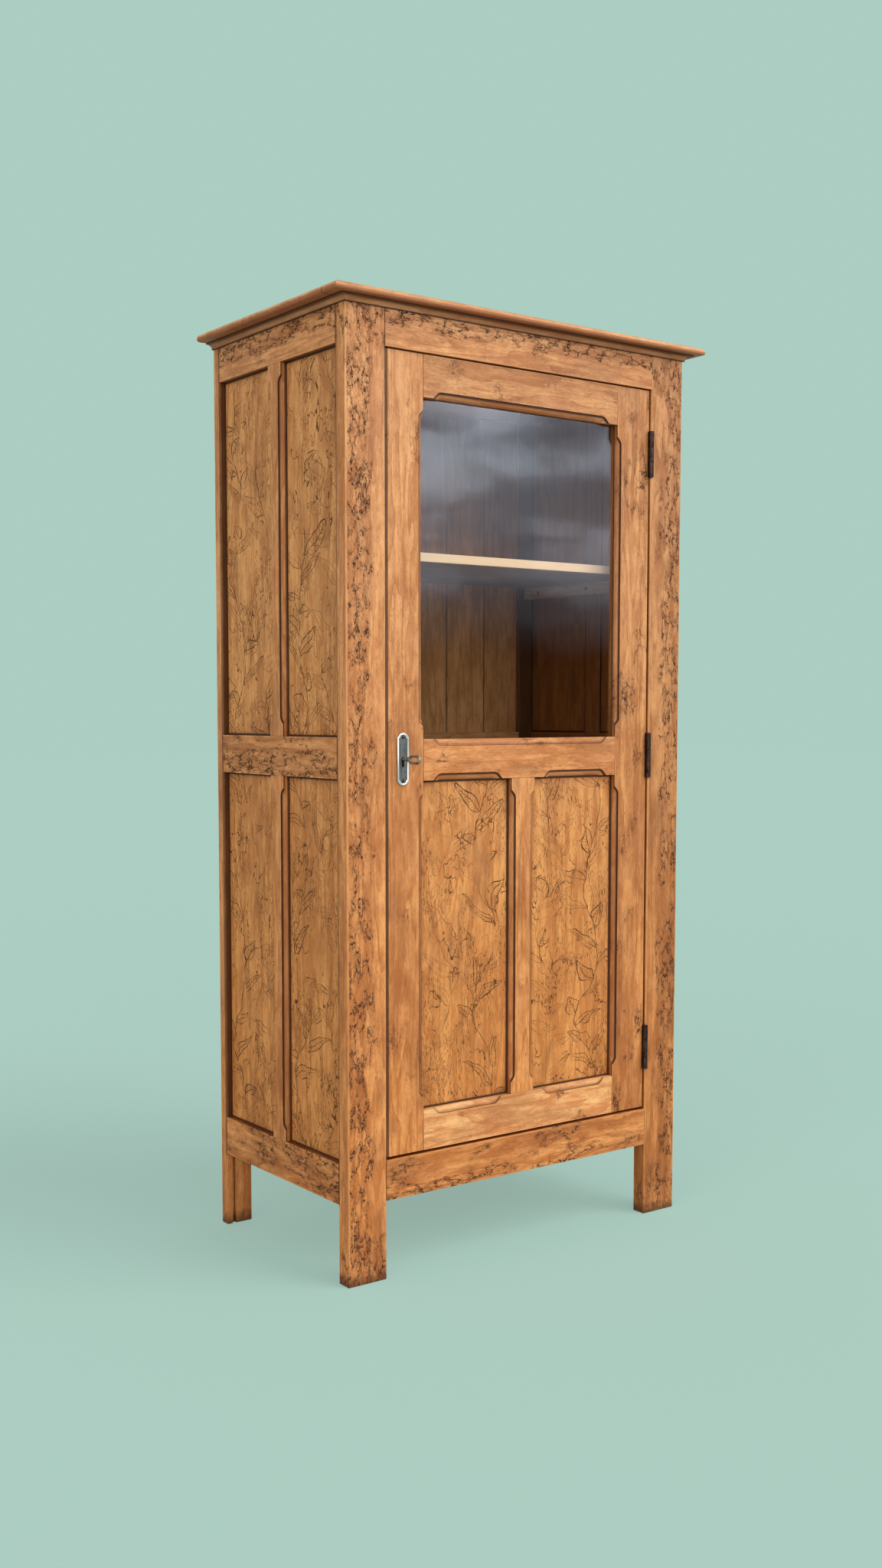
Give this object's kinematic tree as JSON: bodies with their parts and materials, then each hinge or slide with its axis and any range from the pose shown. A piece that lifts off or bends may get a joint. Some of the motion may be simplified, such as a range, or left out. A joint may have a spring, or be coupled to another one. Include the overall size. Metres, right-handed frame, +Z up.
{
  "type": "glass-door cupboard",
  "caption": "Free-standing wooden cupboard with frame-and-panel sides, a glazed door on butt hinges with a rim lock and key, and a shelf inside.",
  "frame": {"origin": "on the floor, in the middle of the box that the whole cupboard fills, key included", "axes": "+Z up; the door faces -Y; +X is to the right of someone who faces the door"},
  "size_m": [0.863, 0.508, 1.7283],
  "materials": {
    "beech": "waxed honey beech, scorched in fine veins along its outer edges",
    "beech_panel": "waxed honey beech panel with a burnt line pattern",
    "pale_wood": "plain planed wood",
    "back_wood": "darkened plain boards",
    "hinge_iron": "dark brown-black iron",
    "lock_steel": "aged grey steel",
    "key_metal": "worn brown steel",
    "window_glass": "clear drawn glass"
  },
  "bodies": {
    "carcass": {"post_front_left": "beech", "post_front_right": "beech", "post_back_left": "beech", "post_back_right": "beech", "side_left_rail_bottom": "beech", "side_left_rail_middle": "beech", "side_left_rail_top": "beech", "side_right_rail_bottom": "beech", "side_right_rail_middle": "beech", "side_right_rail_top": "beech", "side_left_muntin_lower": "beech", "side_left_muntin_upper": "beech", "side_right_muntin_lower": "beech", "side_right_muntin_upper": "beech", "side_left_panel_lower_front": "beech_panel", "side_left_panel_lower_back": "beech_panel", "side_left_panel_upper_front": "beech_panel", "side_left_panel_upper_back": "beech_panel", "side_right_panel_lower_front": "beech_panel", "side_right_panel_lower_back": "beech_panel", "side_right_panel_upper_front": "beech_panel", "side_right_panel_upper_back": "beech_panel", "front_rail_bottom": "beech", "front_rail_top": "beech", "back_rail_bottom": "back_wood", "back_rail_middle": "back_wood", "back_rail_top": "back_wood", "back_boards": "back_wood", "bottom_board": "pale_wood", "shelf": "pale_wood", "shelf_cleat_left": "pale_wood", "shelf_cleat_right": "pale_wood", "bed_moulding_front": "beech", "bed_moulding_left": "beech", "bed_moulding_right": "beech", "top_board": "beech", "top_front_strip": "beech", "hinge_bottom_frame_leaf": "hinge_iron", "hinge_middle_frame_leaf": "hinge_iron", "hinge_top_frame_leaf": "hinge_iron"},
    "door": {"door_stile_left": "beech", "door_stile_right": "beech", "door_rail_bottom": "beech", "door_rail_middle": "beech", "door_rail_top": "beech", "door_muntin": "beech", "door_panel_left": "beech_panel", "door_panel_right": "beech_panel", "glass_pane": "window_glass", "glass_bead_bottom": "beech", "glass_bead_left": "beech", "glass_bead_right": "beech", "glass_bead_top": "beech", "escutcheon": "lock_steel", "lock_case": "lock_steel", "hinge_bottom_door_leaf": "hinge_iron", "hinge_middle_door_leaf": "hinge_iron", "hinge_top_door_leaf": "hinge_iron"},
    "lock_bolt": {"lock_bolt": "lock_steel"},
    "key": {"key": "key_metal"}
  },
  "joints": [
    {"name": "door_swing", "type": "hinge", "parent": "carcass", "child": "door", "pos_m": [0.31375, -0.206, 0], "axis": [0, 0, 1], "range_deg": [0, 170]},
    {"name": "key_turn", "type": "hinge", "parent": "door", "child": "key", "pos_m": [-0.2755, -0.2, 0.929], "axis": [0, -1, 0], "range_deg": [0, 360]},
    {"name": "bolt_throw", "type": "slide", "parent": "door", "child": "lock_bolt", "axis": [-1, 0, 0], "range_m": [0, 0.012]}
  ],
  "couplings": [
    {"joint": "key_turn", "follows": "bolt_throw", "rad_per_m": 523.6}
  ]
}
